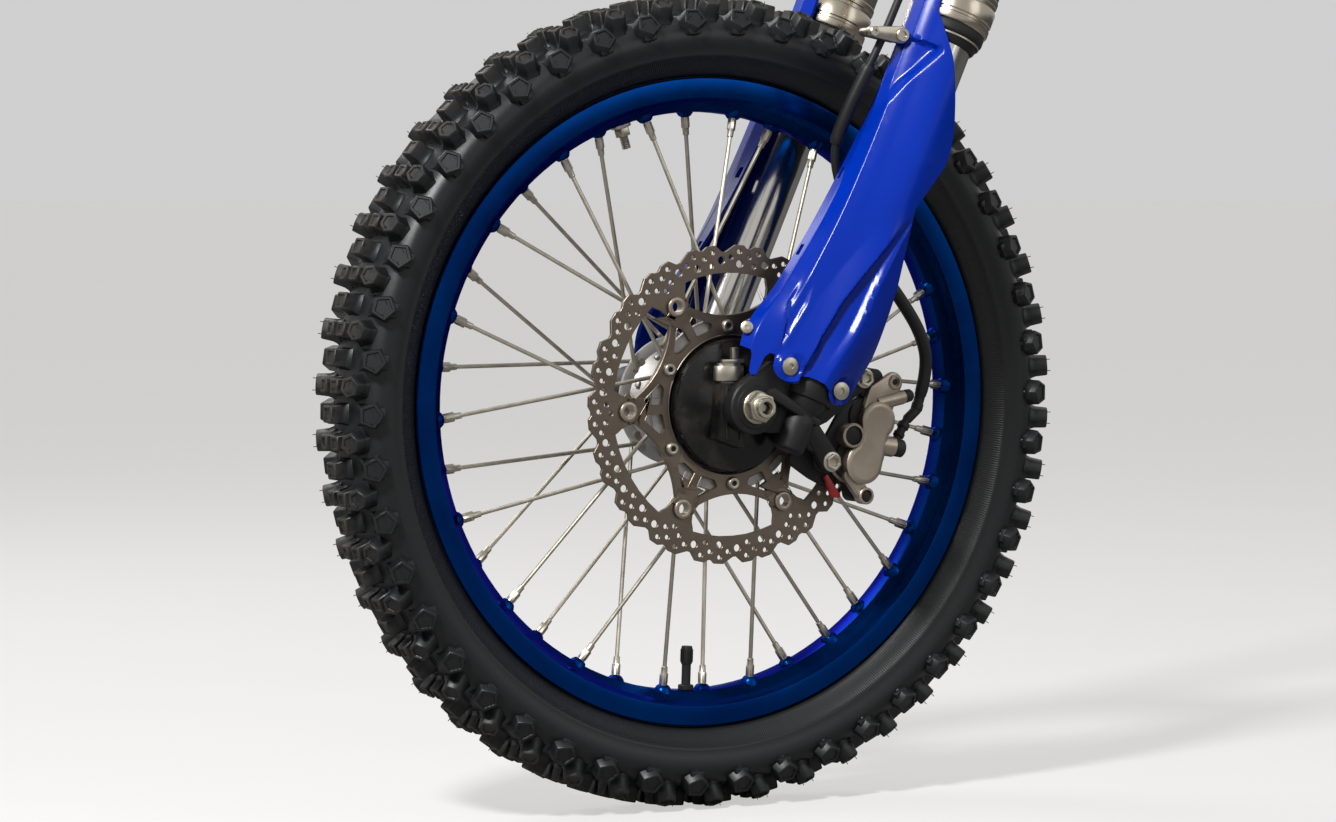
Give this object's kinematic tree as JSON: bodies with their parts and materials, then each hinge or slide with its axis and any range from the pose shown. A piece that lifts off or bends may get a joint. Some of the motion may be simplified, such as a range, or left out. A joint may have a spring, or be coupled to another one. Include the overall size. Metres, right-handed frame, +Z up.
{
  "type": "motorcycle front wheel and fork assembly",
  "caption": "Front end of an enduro motorcycle: knobbed spoked wheel with disc brake, upside-down fork with guards, clamps and steering stem.",
  "frame": {"origin": "on the steering axis, at the seat of the lower steering bearing on the steering stem", "axes": "+X to the motorcycle's rear, +Y to its right side, +Z up; the steering axis leans back by 24.4 degrees as the machine stands, and the wheel turns about Y"},
  "size_m": [0.8203, 0.2852, 1.201],
  "materials": {
    "tyre": "satin, moulded rubber",
    "rim_blue": "blue anodised, glossy",
    "hub_cast": "cast, satin",
    "zinc_steel": "zinc plated",
    "disc_steel": "ground and heat darkened",
    "bobbin_alloy": "hard anodised",
    "black_rubber": "matte",
    "black_plastic": "satin",
    "lug_black": "satin black",
    "guard_blue": "glossy moulded",
    "chrome_tube": "hard chrome, polished",
    "tube_silver": "polished",
    "clamp_alloy": "machined, satin",
    "caliper_alloy": "hard anodised",
    "pad_iron": "dull"
  },
  "bodies": {
    "fork": {"axle": "zinc_steel", "axle_nut": "zinc_steel", "banjo_bolt": "zinc_steel", "banjo_lower": "lug_black", "banjo_upper": "lug_black", "brake_hose": "black_rubber", "brake_pads": "pad_iron", "caliper_body": "caliper_alloy", "caliper_bolts": "zinc_steel", "caliper_bracket": "lug_black", "dust_seal_left": "black_rubber", "dust_seal_right": "black_rubber", "fork_cap_left": "lug_black", "fork_cap_right": "lug_black", "guard_bolts_left": "zinc_steel", "guard_bolts_right": "zinc_steel", "guard_left": "guard_blue", "guard_right": "guard_blue", "hose_clamp": "clamp_alloy", "hose_guide": "lug_black", "inner_tube_left": "chrome_tube", "inner_tube_right": "chrome_tube", "lower_clamp": "clamp_alloy", "lug_left": "lug_black", "lug_right": "lug_black", "outer_tube_left": "tube_silver", "outer_tube_right": "tube_silver", "sensor_cap": "clamp_alloy", "sensor_housing": "black_plastic", "slider_pins": "zinc_steel", "spacer_right": "hub_cast", "steering_stem": "zinc_steel", "stem_nut": "zinc_steel", "upper_clamp": "clamp_alloy"},
    "wheel": {"tyre": "tyre", "rim": "rim_blue", "hub": "hub_cast", "spokes_left": "zinc_steel", "spokes_right": "zinc_steel", "spoke_nipples": "zinc_steel", "disc_ring": "disc_steel", "disc_carrier": "disc_steel", "disc_bobbins": "bobbin_alloy", "disc_bolts": "zinc_steel", "valve_stem": "black_rubber", "rim_lock": "zinc_steel"}
  },
  "joints": [
    {"name": "wheel_spin", "type": "hinge", "parent": "fork", "child": "wheel", "pos_m": [-0.36349, 0, -0.63671], "axis": [0, 1, 0], "continuous": true}
  ]
}
